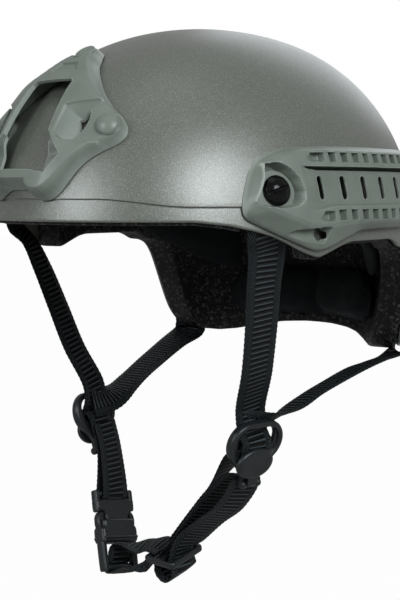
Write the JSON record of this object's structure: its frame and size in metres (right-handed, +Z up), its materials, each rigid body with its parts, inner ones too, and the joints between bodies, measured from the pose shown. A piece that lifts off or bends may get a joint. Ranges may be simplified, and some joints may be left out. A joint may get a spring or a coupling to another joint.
{
  "type": "combat helmet",
  "caption": "Open-face protective helmet: moulded shell, foam liner and pads, front shroud, side rails, and a chin harness with strap dividers, slide and side-release buckle.",
  "frame": {"origin": "middle of the head opening, level with the brow edge of the shell", "axes": "+Z up; the brow faces -Y; the wearer's left is +X"},
  "size_m": [0.2296, 0.272, 0.3102],
  "materials": {
    "shell_paint": "satin, fine metallic grain",
    "moulded_green": "satin moulded",
    "bead_foam": "matte bead foam",
    "loop_cloth": "fuzzy loop cloth",
    "hook_tape": "matte hooks",
    "black_steel": "gloss black",
    "webbing": "woven nylon webbing",
    "black_nylon": "satin moulded"
  },
  "bodies": {
    "helmet": {"shell": "shell_paint", "shroud": "moulded_green", "shroud_screws": "moulded_green", "rail_left": "moulded_green", "rail_right": "moulded_green", "foam_liner": "bead_foam", "brow_pad": "loop_cloth", "crown_pad": "loop_cloth", "side_pad_left": "loop_cloth", "side_pad_right": "loop_cloth", "nape_pad": "loop_cloth", "hook_discs": "hook_tape", "rail_front_screws": "black_steel", "rail_rear_screws": "black_steel", "rail_nuts": "black_steel", "shroud_nuts": "black_steel", "front_strap_left": "webbing", "front_strap_right": "webbing", "rear_strap_left": "webbing", "rear_strap_right": "webbing", "chin_strap_left": "webbing", "chin_strap_right": "webbing", "buckle_strap": "webbing", "divider_left": "black_nylon", "divider_right": "black_nylon", "buckle_male": "black_nylon", "buckle_prongs": "black_nylon"},
    "cap_left": {"divider_cap_left": "black_nylon"},
    "cap_right": {"divider_cap_right": "black_nylon"},
    "buckle_half": {"buckle_female": "black_nylon"},
    "slide": {"strap_slide": "black_nylon", "strap_tail": "webbing"}
  },
  "joints": [
    {"name": "cap_left_hinge", "type": "hinge", "parent": "helmet", "child": "cap_left", "pos_m": [0.05689, -0.02945, -0.13727], "axis": [0.1736, 0.9848, 0], "range_deg": [0, 75]},
    {"name": "cap_right_hinge", "type": "hinge", "parent": "helmet", "child": "cap_right", "pos_m": [-0.05689, -0.02945, -0.13727], "axis": [0.1736, -0.9848, 0], "range_deg": [0, 75]},
    {"name": "buckle_release", "type": "slide", "parent": "helmet", "child": "buckle_half", "axis": [0.342, -0.1954, -0.9192], "range_m": [0, 0.024], "deforming": ["buckle_strap", "buckle_prongs"]},
    {"name": "slide_travel", "type": "slide", "parent": "helmet", "child": "slide", "axis": [-0.6223, 0, -0.7828], "range_m": [0, 0.006], "deforming": ["chin_strap_left", "buckle_strap"]}
  ]
}
